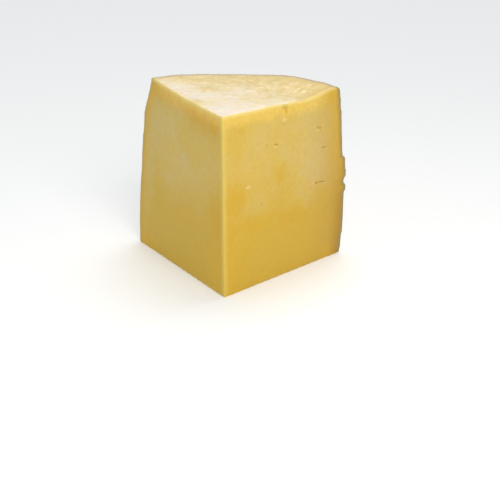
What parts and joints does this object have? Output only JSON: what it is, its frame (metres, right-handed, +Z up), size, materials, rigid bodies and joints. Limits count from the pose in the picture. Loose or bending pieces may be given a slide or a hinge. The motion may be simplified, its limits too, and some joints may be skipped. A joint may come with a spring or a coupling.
{
  "type": "aged kashar cheese piece",
  "caption": "Upright sector of an aged semi-hard cheese wheel with two smooth cut faces, a mottled rind on top and a round swelling back.",
  "frame": {"origin": "on the base plane, under the middle of the piece's bounding box", "axes": "+Z up, the upright front edge towards -Y, the round rind back towards +Y, the longest side along X"},
  "size_m": [0.1776, 0.1328, 0.1479],
  "materials": {
    "cheese_paste": "smooth waxy golden paste with a paler, mottled, slightly wrinkled rind on the top and back"
  },
  "bodies": {
    "root": {"kashar_cheese": "cheese_paste"}
  },
  "joints": []
}
